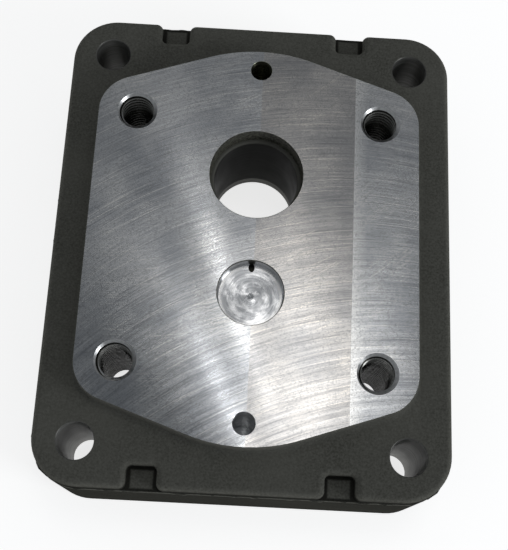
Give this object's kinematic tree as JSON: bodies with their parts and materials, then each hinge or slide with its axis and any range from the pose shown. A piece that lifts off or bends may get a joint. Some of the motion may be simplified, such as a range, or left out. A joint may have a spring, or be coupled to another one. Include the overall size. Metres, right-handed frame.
{
  "type": "cast-iron end head with bushed bore",
  "caption": "Rectangular cast-iron head with a raised machined pad: tapped holes, pin holes, a bushed through bore, a blind spigot recess and corner bolt holes.",
  "frame": {"origin": "centre of the underside's bounding rectangle, on the plane of the joint face", "axes": "+Z out of the machined pad, +Y along the head's length from the blind recess towards the through bore, +X across the head"},
  "size_m": [0.1298, 0.1598, 0.0475],
  "materials": {
    "cast_iron_machined": "as-cast grey iron, dark and slightly rough; the pad face, recess floor and hole mouths are bright fly-cut metal",
    "bush_steel": "smooth bored bush, dull grey"
  },
  "bodies": {
    "root": {"head_casting": "cast_iron_machined", "bore_bush": "bush_steel"}
  },
  "joints": []
}
